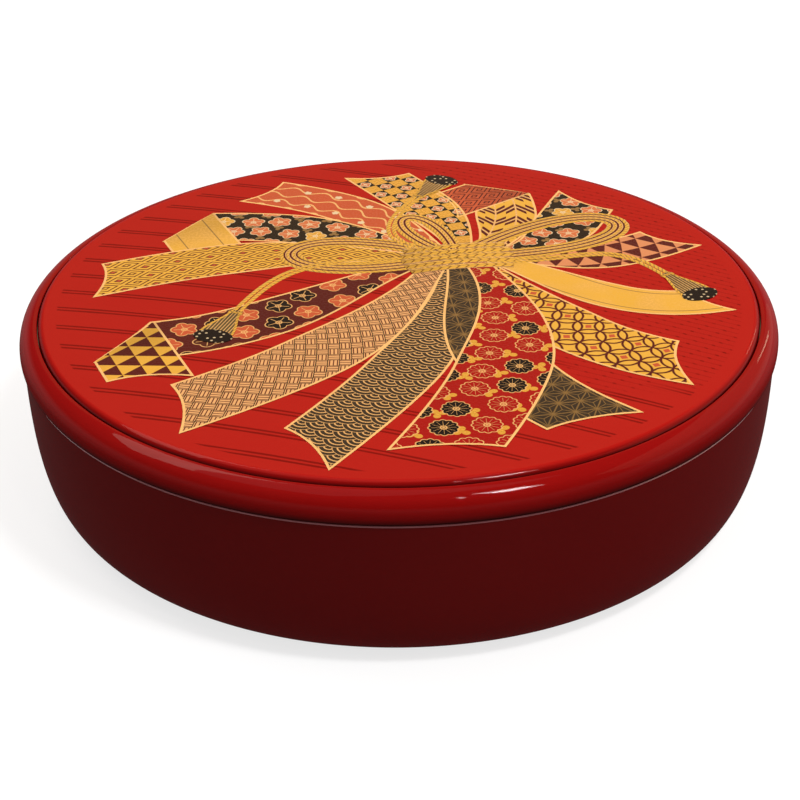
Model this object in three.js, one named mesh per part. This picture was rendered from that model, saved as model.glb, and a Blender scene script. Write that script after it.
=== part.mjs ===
// A round lacquer candy box of joined wood. The lid is a half-round rim, a ledge ring glued into it and a
// raised panel seated on that ring. It drops over a lip ring inside the curved wall, and one round dish
// and five fan dishes stand inside.
// Millimetres, +Z up. The origin is the middle of the foot ring's underside.
import * as THREE from "three";

// How finely the curves are drawn: full circles, the two arcs of half a fan dish, and the sections
const SEGMENTS = 60;
const DISH_SEGMENTS = 36;
const FAN_ARC_STEPS = 6;
const FAN_INNER_STEPS = 3;
const CORNER_STEPS = 3;
const ROUNDING_STEPS = 2;
const CURVE_STEPS = 3;
const FILLET_STEPS = 5;
const SWELL_STEPS = 7;

// The lid's widest radius. The other large radii are set in from it.
const LID_RADIUS = 133;
const LID_OVERHANG = 1; // beyond the wall's rim
const WALL_THICKNESS = 7; // at the rim
const BASE_DRAW_IN = 13; // from the rim to where the curve of the wall ends, underneath
const BOARD_INSET = 7; // from there to the edge of the base board
const FOOT_INSET = 14; // from the edge of the base board to the foot ring

// Foot ring
const FOOT_WIDTH = 7;
const FOOT_CLEARANCE = 3.4; // how far the foot lifts the wall off the table
const FOOT_TONGUE = 1.2; // let into the base board
const FOOT_ROUNDING = 0.9;

// Wall
const WALL_HEIGHT = 52;
const WALL_CURVE = 2.7; // exponent of the curve: 2 is an ellipse, and more is squarer
const WALL_CURVE_STEPS = 10;
const INNER_FILLET = 12;
const RIM_ROUNDING = 1;

// Base board, seated on a ledge inside the foot of the wall
const LEDGE_THICKNESS = 3;
const LEDGE_WIDTH = 4.5;
const BOARD_THICKNESS = 4;

// Lip ring, let into the wall's inside, which holds the lid in place
const LIP_STANDS = 5; // above the wall's rim
const LIP_SEAT_DEPTH = 14; // below the wall's rim
const LIP_THICKNESS = 2.4;
const LIP_ROUNDING = 0.8;
const LID_CLEARANCE = 0.5; // round the lip ring

// Lid rim, a half-round hoop
const LID_HEIGHT = 11.5; // from the seam to the top of the panel
const LID_EQUATOR = 2.8; // height of the widest line above the seam
const LID_TUCK = 0.5; // how far the hoop draws in from there to the seam
const LID_EDGE_ROUNDING = 0.8;
const SHOULDER_WIDTH = 6.6; // from the widest line in to the panel
const PANEL_STEP = 1.6; // how far the panel stands above the shoulder
const PANEL_EDGE_ROUNDING = 2.4;

// Ledge ring, glued into the rim to carry the panel
const LEDGE_RING_THICKNESS = 2.2;
const LEDGE_RING_WIDTH = 8.2; // how far it reaches in under the panel
const LIP_HEADROOM = 0.7; // between the lip ring and the ledge ring

// Dishes
const FAN_COUNT = 5;
const DISH_BELOW_RIM = 11; // from the wall's rim down to the rims of the dishes
const DISH_WALL = 2.4;
const DISH_FLOOR = 2.6;
const DISH_DRAFT = 1.6; // how far the sides draw in towards the floor
const DISH_BOTTOM_CURVE = 12;
const DISH_CLEARANCE = 0.8; // to the wall, and from dish to dish
const CENTRE_DISH_RADIUS = 41;
const FAN_OUTER_CORNER = 11;
const FAN_INNER_CORNER = 6;

const GLUE_GAP = 0.2; // round each glued piece

// Levels and radii that follow from the sizes above
const rimRadius = LID_RADIUS - LID_OVERHANG;
const innerRadius = rimRadius - WALL_THICKNESS;
const baseRadius = rimRadius - BASE_DRAW_IN;
const boardRadius = baseRadius - BOARD_INSET;
const footRadius = boardRadius - FOOT_INSET;
const ledgeTop = FOOT_CLEARANCE + LEDGE_THICKNESS;
const floorLevel = ledgeTop + BOARD_THICKNESS;
const seamLevel = FOOT_CLEARANCE + WALL_HEIGHT;
const boardHole = boardRadius + GLUE_GAP;
const lipRadius = innerRadius + LIP_THICKNESS;
const skirtInner = lipRadius + LID_CLEARANCE;
const panelHole = LID_RADIUS - SHOULDER_WIDTH;
const ledgeRingLevel = LIP_STANDS + LIP_HEADROOM;
const panelSeatLevel = ledgeRingLevel + LEDGE_RING_THICKNESS;
const ledgeRingRadius = panelHole - LEDGE_RING_WIDTH;
const dishHeight = seamLevel - DISH_BELOW_RIM - floorLevel;

// Finishes
const finish = (color, roughness, metalness = 0) =>
  new THREE.MeshStandardMaterial({ color, roughness, metalness });
const redLacquer = finish(0xb01818, 0.12);
const deepRedLacquer = finish(0x6a0808, 0.12);
const blackLacquer = finish(0x140e0c, 0.15);

const point = (x, y) => new THREE.Vector2(x, y);

// Points of an elliptic quarter turn about a centre, from one angle to another, in degrees.
function arc(x, y, radiusX, radiusY, from, to, steps) {
  const points = [];
  for (let i = 0; i <= steps; i += 1) {
    const angle = THREE.MathUtils.degToRad(from + ((to - from) * i) / steps);
    points.push(point(x + radiusX * Math.cos(angle), y + radiusY * Math.sin(angle)));
  }
  return points;
}

// Points of a small circular rounding.
const rounded = (x, y, radius, from, to) => arc(x, y, radius, radius, from, to, ROUNDING_STEPS);

// Revolves a profile of [radius, height] points, drawn counter-clockwise, about the Z axis.
function turned(name, material, profile, segments = SEGMENTS) {
  const geometry = new THREE.LatheGeometry(profile, segments).rotateX(Math.PI / 2);
  const mesh = new THREE.Mesh(geometry, material);
  mesh.name = name;
  return mesh;
}

// A ring's profile starts anywhere and returns to its own first point.
const closed = (points) => [...points, points[0].clone()];

function footRing() {
  const inner = footRadius - FOOT_WIDTH;
  const top = ledgeTop + FOOT_TONGUE - GLUE_GAP;
  return turned("foot_ring", deepRedLacquer, closed([
    ...rounded(inner + FOOT_ROUNDING, FOOT_ROUNDING, FOOT_ROUNDING, 180, 270),
    ...rounded(footRadius - FOOT_ROUNDING, FOOT_ROUNDING, FOOT_ROUNDING, 270, 360),
    point(footRadius, top),
    point(inner, top),
  ]));
}

function baseBoard() {
  const thickness = BOARD_THICKNESS;
  const grooveInner = footRadius - FOOT_WIDTH - GLUE_GAP;
  const grooveOuter = footRadius + GLUE_GAP;
  const board = turned("base_board", blackLacquer, [
    point(0, 0),
    point(grooveInner, 0),
    point(grooveInner, FOOT_TONGUE),
    point(grooveOuter, FOOT_TONGUE),
    point(grooveOuter, 0),
    point(boardRadius, 0),
    point(boardRadius, thickness),
    point(0, thickness),
  ]);
  board.position.z = ledgeTop;
  return board;
}

// The wall's outside is a superellipse: nearly upright at the rim, and level where it meets the base.
function wallCurve() {
  const points = [];
  const rise = WALL_HEIGHT - RIM_ROUNDING;
  for (let i = 0; i <= WALL_CURVE_STEPS; i += 1) {
    const angle = (Math.PI / 2) * (i / WALL_CURVE_STEPS);
    const across = Math.sin(angle) ** (2 / WALL_CURVE);
    const down = Math.cos(angle) ** (2 / WALL_CURVE);
    points.push(point(baseRadius + (rimRadius - baseRadius) * across, rise * (1 - down)));
  }
  return points;
}

function bodyWall() {
  const lipLedge = WALL_HEIGHT - LIP_SEAT_DEPTH;
  const floor = floorLevel - FOOT_CLEARANCE;
  const filletFoot = innerRadius - INNER_FILLET;
  const wall = turned("body_wall", deepRedLacquer, closed([
    point(boardRadius - LEDGE_WIDTH, 0),
    ...wallCurve(),
    ...rounded(rimRadius - RIM_ROUNDING, WALL_HEIGHT - RIM_ROUNDING, RIM_ROUNDING, 0, 90).slice(1),
    point(lipRadius + GLUE_GAP, WALL_HEIGHT),
    point(lipRadius + GLUE_GAP, lipLedge),
    point(innerRadius, lipLedge),
    ...arc(filletFoot, floor + INNER_FILLET, INNER_FILLET, INNER_FILLET, 360, 270, FILLET_STEPS),
    point(boardHole, floor),
    point(boardHole, LEDGE_THICKNESS),
    point(boardRadius - LEDGE_WIDTH, LEDGE_THICKNESS),
  ]));
  wall.position.z = FOOT_CLEARANCE;
  return wall;
}

function lipRing() {
  const height = LIP_SEAT_DEPTH + LIP_STANDS;
  const shoulder = height - LIP_ROUNDING;
  const ring = turned("lip_ring", blackLacquer, closed([
    point(innerRadius, 0),
    point(lipRadius, 0),
    ...rounded(lipRadius - LIP_ROUNDING, shoulder, LIP_ROUNDING, 0, 90),
    ...rounded(innerRadius + LIP_ROUNDING, shoulder, LIP_ROUNDING, 90, 180),
  ]));
  ring.position.z = seamLevel - LIP_SEAT_DEPTH;
  return ring;
}

// The hoop's outside swells from the panel's edge to its widest line and tucks in to the seam.
function lidRim() {
  const shoulder = LID_HEIGHT - PANEL_STEP;
  const edge = LID_RADIUS - LID_TUCK;
  return turned("lid_rim", redLacquer, closed([
    point(skirtInner, 0),
    point(edge - LID_EDGE_ROUNDING, 0),
    ...arc(edge, LID_EQUATOR, LID_TUCK, LID_EQUATOR - LID_EDGE_ROUNDING, 270, 360, CURVE_STEPS),
    ...arc(panelHole, LID_EQUATOR, SHOULDER_WIDTH, shoulder - LID_EQUATOR, 0, 90, SWELL_STEPS).slice(1),
    point(panelHole, panelSeatLevel),
    point(skirtInner, panelSeatLevel),
  ]));
}

// The ledge ring stands under the rim's inner edge and reaches in beneath the panel.
function ledgeRing() {
  const outer = skirtInner - GLUE_GAP;
  return turned("ledge_ring", blackLacquer, closed([
    point(ledgeRingRadius, ledgeRingLevel),
    point(outer, ledgeRingLevel),
    point(outer, panelSeatLevel),
    point(ledgeRingRadius, panelSeatLevel),
  ]));
}

// The panel's edge lies on the ledge ring, and its middle drops through to finish level below.
function lidPanel() {
  const edge = panelHole - GLUE_GAP;
  const middle = ledgeRingRadius - GLUE_GAP;
  const rounding = PANEL_EDGE_ROUNDING;
  return turned("lid_panel", redLacquer, [
    point(0, ledgeRingLevel),
    point(middle, ledgeRingLevel),
    point(middle, panelSeatLevel),
    point(edge, panelSeatLevel),
    ...arc(edge - rounding, LID_HEIGHT - rounding, rounding, rounding, 0, 90, CURVE_STEPS),
    point(0, LID_HEIGHT),
  ]);
}

// A dish's section as [inset from its outline, height] points: out over the underside, up the outside,
// over the rounded rim, and down the inside to the floor.
function dishSection() {
  const innerCurve = DISH_BOTTOM_CURVE - DISH_WALL;
  const rimRadius = DISH_WALL / 2;
  const outerFoot = DISH_DRAFT + DISH_BOTTOM_CURVE;
  const innerFoot = DISH_DRAFT + DISH_WALL + innerCurve;
  return [
    ...arc(outerFoot, DISH_BOTTOM_CURVE, DISH_BOTTOM_CURVE, DISH_BOTTOM_CURVE, 270, 180, CURVE_STEPS),
    ...rounded(rimRadius, dishHeight - rimRadius, rimRadius, 180, 0),
    ...arc(innerFoot, DISH_FLOOR + innerCurve, innerCurve, innerCurve, 180, 270, CURVE_STEPS),
  ];
}

function centreDish() {
  const section = dishSection();
  const profile = section.map((p) => point(CENTRE_DISH_RADIUS - p.x, p.y));
  const dish = turned("centre_dish", blackLacquer, [
    point(0, 0),
    ...profile,
    point(0, DISH_FLOOR),
  ], DISH_SEGMENTS);
  dish.position.z = floorLevel;
  return dish;
}

// A fan dish's outline, seen from above and drawn counter-clockwise, moved in by an inset.
// It spans its share of the circle between two arcs, with the four corners rounded.
function fanOutline(inset) {
  const half = Math.PI / FAN_COUNT;
  const outer = innerRadius - DISH_CLEARANCE - inset;
  const inner = CENTRE_DISH_RADIUS + DISH_CLEARANCE + inset;
  const side = DISH_CLEARANCE / 2 + inset;
  const along = point(Math.cos(half), Math.sin(half));
  const inwards = point(Math.sin(half), -Math.cos(half));
  const corner = (radius, reach) => {
    const offset = side + radius;
    const middle = along.clone().multiplyScalar(Math.sqrt(reach ** 2 - offset ** 2));
    return middle.addScaledVector(inwards, offset);
  };
  const sharpest = 0.5;
  const outerCorner = Math.max(FAN_OUTER_CORNER - inset, sharpest);
  const innerCorner = Math.max(FAN_INNER_CORNER - inset, sharpest);
  const far = corner(outerCorner, outer - outerCorner);
  const near = corner(innerCorner, inner + innerCorner);
  const degrees = THREE.MathUtils.radToDeg;
  const square = degrees(half + Math.PI / 2);
  const farTurn = degrees(far.angle());
  const nearTurn = degrees(near.angle());
  const upper = [
    ...arc(0, 0, outer, outer, 0, farTurn, FAN_ARC_STEPS).slice(0, -1),
    ...arc(far.x, far.y, outerCorner, outerCorner, farTurn, square, CORNER_STEPS),
    ...arc(near.x, near.y, innerCorner, innerCorner, square, nearTurn + 180, CORNER_STEPS),
    ...arc(0, 0, inner, inner, nearTurn, 0, FAN_INNER_STEPS).slice(1),
  ];
  const lower = upper.slice(1, -1).reverse().map((p) => point(p.x, -p.y));
  return [...upper, ...lower];
}

// Carries the dish section round the fan's outline and closes the floor and the underside.
function fanDishGeometry() {
  const section = dishSection();
  const rings = section.map((p) => fanOutline(p.x));
  const count = rings[0].length;
  const positions = rings.flatMap((ring, row) => ring.flatMap((p) => [p.x, p.y, section[row].y]));
  const faces = [];
  for (let row = 0; row + 1 < rings.length; row += 1) {
    for (let i = 0; i < count; i += 1) {
      const a = row * count + i;
      const b = row * count + ((i + 1) % count);
      faces.push(a, b, b + count, a, b + count, a + count);
    }
  }
  const lastRow = (rings.length - 1) * count;
  for (const [a, b, c] of THREE.ShapeUtils.triangulateShape(rings[0], [])) faces.push(c, b, a);
  for (const [a, b, c] of THREE.ShapeUtils.triangulateShape(rings.at(-1), [])) {
    faces.push(a + lastRow, b + lastRow, c + lastRow);
  }
  const geometry = new THREE.BufferGeometry();
  geometry.setAttribute("position", new THREE.Float32BufferAttribute(positions, 3));
  geometry.setIndex(faces);
  geometry.computeVertexNormals();
  return geometry;
}

function fanDishes() {
  const ring = new THREE.Group();
  const geometry = fanDishGeometry();
  for (let i = 0; i < FAN_COUNT; i += 1) {
    const dish = new THREE.Mesh(geometry, blackLacquer);
    dish.name = `fan_dish_${i + 1}`;
    dish.rotation.z = Math.PI / 2 + (i * 2 * Math.PI) / FAN_COUNT;
    ring.add(dish);
  }
  ring.position.z = floorLevel;
  return ring;
}

const lid = new THREE.Group();
lid.add(lidRim(), ledgeRing(), lidPanel());
lid.position.z = seamLevel;

const candyBox = new THREE.Group();
candyBox.add(footRing(), baseBoard(), bodyWall(), lipRing(), centreDish(), fanDishes(), lid);

export default candyBox;
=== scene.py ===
"""The looks of a round candy box: lacquered wood, with tied brocade ribbons painted on the lid."""
import math

import bpy
from mathutils import Matrix, Vector


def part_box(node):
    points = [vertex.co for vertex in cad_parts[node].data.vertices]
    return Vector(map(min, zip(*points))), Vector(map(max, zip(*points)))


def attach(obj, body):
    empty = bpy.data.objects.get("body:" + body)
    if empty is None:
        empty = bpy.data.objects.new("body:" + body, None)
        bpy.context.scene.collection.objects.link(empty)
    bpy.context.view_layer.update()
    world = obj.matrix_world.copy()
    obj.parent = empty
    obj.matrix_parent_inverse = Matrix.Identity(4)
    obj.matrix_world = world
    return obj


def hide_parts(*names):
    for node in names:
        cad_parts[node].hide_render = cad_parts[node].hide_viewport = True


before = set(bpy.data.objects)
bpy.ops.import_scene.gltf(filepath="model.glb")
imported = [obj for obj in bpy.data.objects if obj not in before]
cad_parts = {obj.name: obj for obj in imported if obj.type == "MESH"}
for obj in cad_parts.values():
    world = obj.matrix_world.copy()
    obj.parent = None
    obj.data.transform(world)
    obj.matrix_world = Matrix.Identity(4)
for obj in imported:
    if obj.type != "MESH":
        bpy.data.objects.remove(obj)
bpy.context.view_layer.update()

MM = 0.001
TURNS = 288
DISH_TURNS = 160
SHARP_ANGLE = math.radians(40)

# The mesh layer that says where each point of the figure is on its cloth
WEAVE = "Weave"

# Inner sizes in millimetres, a curve's exponent and a count, none of which a node's box tells
WALL_BASE_RADIUS = 119
WALL_CURVE = 2.7
WALL_INNER_RADIUS = 125
WALL_INNER_FILLET = 12
RIM_ROUNDING = 1
GLUE_GAP = 0.2
LEDGE_THICKNESS = 3
LEDGE_WIDTH = 4.5
LIP_ROUNDING = 0.8
LID_CLEARANCE = 0.5
LID_EQUATOR = 2.8
LID_TUCK = 0.5
LID_EDGE_ROUNDING = 0.8
LEDGE_RING_WIDTH = 8.2
PANEL_EDGE_ROUNDING = 2.4
HOLE_ROUNDING = 0.45
FOOT_WIDTH = 7
FOOT_ROUNDING = 0.9
FOOT_TONGUE = 1.2
FAN_COUNT = 5
DISH_WALL = 2.4
DISH_FLOOR = 2.6
DISH_DRAFT = 1.6
DISH_BOTTOM_CURVE = 12
DISH_CLEARANCE = 0.8
FAN_OUTER_CORNER = 11
FAN_INNER_CORNER = 6

# The painted figure stands up to this height above the panel, whose own top lies that much lower
FIGURE_HEIGHT = 0.36


def radius_of(node):
    """Outside radius of a turned node, in millimetres."""
    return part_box(node)[1].x / MM


def low_of(node):
    """Height of a node's lowest point, in millimetres."""
    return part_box(node)[0].z / MM


def high_of(node):
    """Height of a node's highest point, in millimetres."""
    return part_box(node)[1].z / MM


seam = low_of("lid_rim")
floor_level = high_of("base_board")
lid_top = high_of("lid_panel") - FIGURE_HEIGHT
panel_radius = radius_of("lid_panel")


# Numbers and colours in a node tree

def feed(tree, entry, value):
    """Gives a socket its value: a number, a colour, or something worked out in the tree."""
    if isinstance(value, Number):
        tree.links.new(value.socket, entry)
    elif isinstance(value, bpy.types.NodeSocket):
        tree.links.new(value, entry)
    elif isinstance(value, tuple):
        entry.default_value = (*value, 1)
    else:
        entry.default_value = value


class Number:
    """A number in a node tree, so that a pattern reads as a formula."""

    def __init__(self, tree, socket):
        self.tree = tree
        self.socket = socket

    def math(self, operation, *others, clamp=False):
        node = self.tree.nodes.new("ShaderNodeMath")
        node.operation = operation
        node.use_clamp = clamp
        for entry, value in zip(node.inputs, (self, *others)):
            feed(self.tree, entry, value)
        return Number(self.tree, node.outputs[0])

    def __add__(self, other):
        return self.math("ADD", other)

    def __sub__(self, other):
        return self.math("SUBTRACT", other)

    def __mul__(self, other):
        return self.math("MULTIPLY", other)

    def __truediv__(self, other):
        return self.math("DIVIDE", other)

    def __neg__(self):
        return self * -1

    __radd__ = __add__
    __rmul__ = __mul__

    def __rsub__(self, other):
        return -self + other

    def abs(self):
        return self.math("ABSOLUTE")

    def sin(self):
        return self.math("SINE")

    def cos(self):
        return self.math("COSINE")

    def floor(self):
        return self.math("FLOOR")

    def frac(self):
        return self.math("FRACT")

    def min(self, other):
        return self.math("MINIMUM", other)

    def max(self, other):
        return self.math("MAXIMUM", other)

    def below(self, limit, soft=0.12):
        """1 where the number is under the limit and 0 over it, with an edge as soft as given."""
        return (limit - self).math("MULTIPLY_ADD", 1 / soft, 0.5, clamp=True)

    def odd(self):
        """1 where a whole number is odd."""
        return (self * 0.5).frac() * 2

    def centred(self, size=1):
        """Place in a repeat of the given size, from its middle."""
        return ((self / size).frac() - 0.5) * size

    def off_middle(self):
        """How far the number is from the middle between two whole ones."""
        return (self.frac() - 0.5).abs()


def longer(x, y):
    """Length of the vector (x, y)."""
    return (x * x + y * y).math("SQRT")


def angle_of(x, y):
    return y.math("ARCTAN2", x)


class Paint:
    """A material with one Principled shader, built up from masks."""

    def __init__(self, name):
        self.material = bpy.data.materials.new(name)
        self.material.use_nodes = True
        self.tree = self.material.node_tree
        self.shader = self.tree.nodes["Principled BSDF"]

    def set(self, **values):
        """Sets the shader's sockets by their names."""
        for name, value in values.items():
            socket = name.replace("_", " ").title().replace("Ior", "IOR")
            feed(self.tree, self.shader.inputs[socket], value)

    def place(self):
        """The point as three numbers, in millimetres."""
        node = self.tree.nodes.new("ShaderNodeTexCoord")
        return [part / MM for part in self.parts(node.outputs["Object"])]

    def weave(self):
        """How far along a ribbon a point is, and how far from its middle, in millimetres."""
        node = self.tree.nodes.new("ShaderNodeUVMap")
        node.uv_map = WEAVE
        return self.parts(node.outputs["UV"])[:2]

    def parts(self, vector):
        """The three numbers of a vector."""
        node = self.tree.nodes.new("ShaderNodeSeparateXYZ")
        self.tree.links.new(vector, node.inputs[0])
        return [Number(self.tree, out) for out in node.outputs]

    def noise(self, scale, detail):
        """Noise from 0 to 1, with so many blotches to the metre."""
        node = self.tree.nodes.new("ShaderNodeTexNoise")
        place = self.tree.nodes.new("ShaderNodeTexCoord")
        self.tree.links.new(place.outputs["Object"], node.inputs["Vector"])
        node.inputs["Scale"].default_value = scale
        node.inputs["Detail"].default_value = detail
        node.inputs["Roughness"].default_value = 0.55
        return Number(self.tree, node.outputs["Fac"])

    def chance(self, x, y, seed):
        """A number from 0 to 1 that is fixed for each pair of whole numbers."""
        point = self.tree.nodes.new("ShaderNodeCombineXYZ")
        for entry, value in zip(point.inputs, (x, y, seed)):
            feed(self.tree, entry, value)
        node = self.tree.nodes.new("ShaderNodeTexWhiteNoise")
        self.tree.links.new(point.outputs[0], node.inputs["Vector"])
        return Number(self.tree, node.outputs["Value"])

    def mix(self, mask, low, high):
        """One colour where the mask is 0, and the other where it is 1."""
        node = self.tree.nodes.new("ShaderNodeMix")
        node.data_type = "RGBA"
        feed(self.tree, node.inputs["Factor"], mask)
        entries = [entry for entry in node.inputs if entry.type == "RGBA"]
        for entry, colour in zip(entries, (low, high)):
            feed(self.tree, entry, colour)
        return next(socket for socket in node.outputs if socket.type == "RGBA")

    def lay_over(self, mask, colour):
        """Lays a colour over what the material has so far."""
        plain = self.shader.inputs["Base Color"].links[0].from_socket
        self.set(base_color=self.mix(mask, plain, colour))

    def bump(self, height, distance):
        """Raises the surface by the height, which runs from 0 to 1, times a distance in millimetres."""
        node = self.tree.nodes.new("ShaderNodeBump")
        node.inputs["Distance"].default_value = distance * MM
        feed(self.tree, node.inputs["Height"], height)
        self.tree.links.new(node.outputs["Normal"], self.shader.inputs["Normal"])


# Colours, as linear red, green and blue

VERMILION = (0.385, 0.0065, 0.0045)
VERMILION_WORN = (0.45, 0.020, 0.011)
RIM_RED = (0.25, 0.002, 0.002)
RIM_WORN = (0.32, 0.009, 0.006)
# Painted shade on the rim's lower half, and painted shadow along the seam under the lid's tuck
RIM_SHADE = (0.10, 0.001, 0.001)
SEAM_SHADOW = (0.018, 0.0006, 0.0006)
# Painted shade down the panel's rounded edge
PANEL_EDGE_SHADE = (0.20, 0.002, 0.002)
STRIPE_RED = (0.16, 0.0, 0.0)
# Painted shadow in the groove at the foot of the panel's edge
GROOVE_SHADOW = (0.04, 0.001, 0.001)
# Painted highlight along the corner of the wall's rim
SEAM_HIGHLIGHT = (0.30, 0.13, 0.14)
MAROON = (0.066, 0.0005, 0.0006)
MAROON_WORN = (0.11, 0.004, 0.003)
BLACK = (0.006, 0.0045, 0.004)
BLACK_WORN = (0.02, 0.014, 0.012)
INK = (0.016, 0.010, 0.004)
GOLD = (0.82, 0.43, 0.055)
PALE_GOLD = (0.95, 0.54, 0.19)
OLD_GOLD = (0.30, 0.17, 0.050)
OLIVE = (0.13, 0.085, 0.028)
PEACH = (0.72, 0.27, 0.11)
STRAW = (0.82, 0.42, 0.16)
ORANGE = (0.66, 0.17, 0.055)
CORAL = (0.58, 0.10, 0.035)
WINE = (0.10, 0.010, 0.008)
CHARCOAL = (0.045, 0.030, 0.017)
IVORY = (0.80, 0.62, 0.36)


def polished(paint):
    """The slow waves that polishing leaves in lacquer."""
    paint.bump(paint.noise(38, 2), distance=0.012)


def lacquer(name, colour, worn, gloss, coat):
    """Polished lacquer: deep colour, faint clouding, hairline unevenness and a clear coat."""
    paint = Paint(name)
    clouds = paint.noise(22, 4)
    specks = paint.noise(420, 2)
    paint.set(
        base_color=paint.mix((clouds * 0.5 + specks * 0.22) * 0.55, colour, worn),
        roughness=0.07 + paint.noise(60, 3) * 0.12,
        ior=1.5,
        specular_ior_level=gloss,
        coat_weight=coat,
        coat_roughness=0.03,
        coat_ior=1.8,
    )
    polished(paint)
    return paint


def ground_stripes(paint):
    """Paired dark stripes in a slight sweep over the ground, and dotted threads on its right."""
    pair_pitch = 13.5
    half_gap = 1.0
    half_width = 0.5
    thread_pitch = 3.5
    dot_pitch = 5.5
    start, slope, curve = 10, 0.40, 0.001
    left_end, lean, front_end = 40, 0.25, -72
    margin = 6.5
    x, y, _ = paint.place()
    across = y + start + x * slope + x * x * curve
    uneven = (paint.noise(90, 2) - 0.5) * 0.35
    from_line = (across.centred(pair_pitch).abs() - half_gap).abs()
    stripes = from_line.below(half_width + uneven, 0.25)
    shift = (across / thread_pitch).floor().odd() * (dot_pitch / 2)
    from_thread = across.centred(thread_pitch).abs()
    from_dot = longer((x + shift).centred(dot_pitch) * 0.7, from_thread)
    dots = from_dot.below(0.5, 0.3) * (0.3 + paint.noise(200, 1))
    threads = from_thread.below(0.25, 0.4) * 0.45
    right = (left_end - x - y * lean).below(0, 10) * (front_end - y).below(0, 8)
    inside = longer(x, y).below(panel_radius - margin, 0.5)
    return (stripes * (1 - right)).max(dots.max(threads) * right) * inside


def panel_material():
    """The lid's striped red ground."""
    paint = lacquer("panel_red", VERMILION, VERMILION_WORN, gloss=0, coat=0.13)
    paint.lay_over(ground_stripes(paint) * 0.85, STRIPE_RED)
    return paint.material


def panel_edge_material():
    """The ground's red, with painted shade down the panel's rounded edge and a painted shadow in the groove
    at its foot.
    """
    paint = lacquer("panel_edge_red", VERMILION, VERMILION_WORN, gloss=0, coat=0.09)
    height = paint.place()[2] - lid_top
    # Painted shade down the rounded edge, then painted shadow at its foot
    paint.lay_over(height.below(-0.3, 0.6) * 0.9, PANEL_EDGE_SHADE)
    paint.lay_over(height.below(-1.2, 0.9), GROOVE_SHADOW)
    return paint.material


def rim_material():
    """Red with painted shade that deepens from the shoulder down to a painted shadow at the seam, where
    hands have dulled its polish.
    """
    coat = 0.13
    paint = lacquer("rim_red", RIM_RED, RIM_WORN, gloss=0, coat=coat)
    height = paint.place()[2] - seam
    # Painted shade on the lower half, and painted shadow at the seam under the lid's tuck
    paint.lay_over(height.below(5.5, 6.0), RIM_SHADE)
    paint.lay_over(height.below(1.7, 2.0), SEAM_SHADOW)
    paint.set(coat_weight=coat - height.below(6.5, 4.0) * 0.11)
    return paint.material


# Painted shade: cloth is darker along its first millimetres, where it is gathered into the knot
GATHERED_LENGTH = 14
GATHERED_FADE = 24
GATHERED_SHADE = 0.35


def cloth(name, ground, layers):
    """A ribbon's painted cloth. Layers gives (mask, colour, how metallic) from the ground up."""
    paint = Paint(name)
    u, v = paint.weave()
    colour = ground
    metal = 0
    for mask, tint, shine in layers(paint, u, v):
        colour = paint.mix(mask, colour, tint)
        if shine or metal:
            metal = mask * shine + (1 - mask) * metal
    dust = paint.noise(900, 2)
    stains = paint.noise(45, 3)
    # Painted shade where the cloth goes under the knot
    gathered = u.below(GATHERED_LENGTH, GATHERED_FADE) * GATHERED_SHADE
    paint.set(
        base_color=paint.mix((dust * 0.15 + stains * 0.12).max(gathered), colour, BLACK),
        metallic=metal,
        roughness=0.16 + dust * 0.22,
        ior=1.5,
        specular_ior_level=0.02,
        coat_weight=0.10,
        coat_roughness=0.04,
        coat_ior=1.5,
    )
    polished(paint)
    return paint.material


# Repeats. Each takes a point on the ribbon in millimetres and gives layers of paint

# How metallic a layer is: colour without gold, drawn gold lines, gold patches, and a gold ground
MATT = 0
DRAWN = 0.3
FILLED = 0.35
BURNISHED = 0.4


def staggered(u, v, width, height):
    """Column and row of a brick lattice, and the place in the cell from its middle."""
    row = (v / height).floor()
    across = u / width + row.odd() * 0.5
    return across.floor(), row, across.centred() * width, v.centred(height)


def blossom(x, y, petals, radius, lobes, turn=0):
    """Masks of a flower's whole shape and of its drawn lines."""
    half_turns = (angle_of(x, y) + turn) * (petals / 2)
    reach = longer(x, y)
    edge = (half_turns.cos().abs() * lobes + (1 - lobes)) * radius
    shape = (reach - edge).below(0, 0.2)
    rim = (reach - edge).abs().below(0.2, 0.2)
    veins = (half_turns.sin().abs() * reach).below(0.3, 0.3) * reach.below(radius * 0.8)
    heart = (reach - radius * 0.2).abs().below(0.2, 0.2)
    return shape, rim.max(veins).max(heart)


def scattered_blossoms(paint, u, v, cell, petals, radius, lobes, seed):
    """One flower in each cell of a brick lattice, turned and shifted by chance."""
    column, row, x, y = staggered(u, v, cell * 1.15, cell)
    lot = paint.chance(column, row, seed)
    shift = (paint.chance(column, row, seed + 1) - 0.5) * cell * 0.16
    shape, lines = blossom(x + shift, y - shift, petals, radius, lobes, lot * (2 * math.pi))
    return shape, lines, lot


def waves(paint, u, v):
    """Rows of overlapping round waves."""
    radius = 5.2
    height = radius / 2
    row = (u / height).floor()
    ring = None
    for behind in (0, 1, 2):
        base = row - behind
        x = (v + base.odd() * radius).centred(radius * 2)
        reach = longer(x, u - base * height)
        covered = reach.below(radius, 0.05)
        ring = reach if ring is None else ring * (1 - covered) + reach * covered
    line_pitch = radius / 3
    yield (0.5 - (ring / line_pitch).off_middle()).below(0.13, 0.12), PALE_GOLD, DRAWN


def treasures(paint, u, v):
    """Seven treasures: circles that share their quarters."""
    radius = 5.4
    x, y = u.centred(radius * 2), v.centred(radius * 2)
    other_x, other_y = (u + radius).centred(radius * 2), (v + radius).centred(radius * 2)
    ring = (longer(x, y) - radius).abs()
    other_ring = (longer(other_x, other_y) - radius).abs()
    yield ring.min(other_ring).below(0.42, 0.25), WINE, MATT
    yield (x.abs() + y.abs()).below(1.5, 0.3), CORAL, MATT


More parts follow.
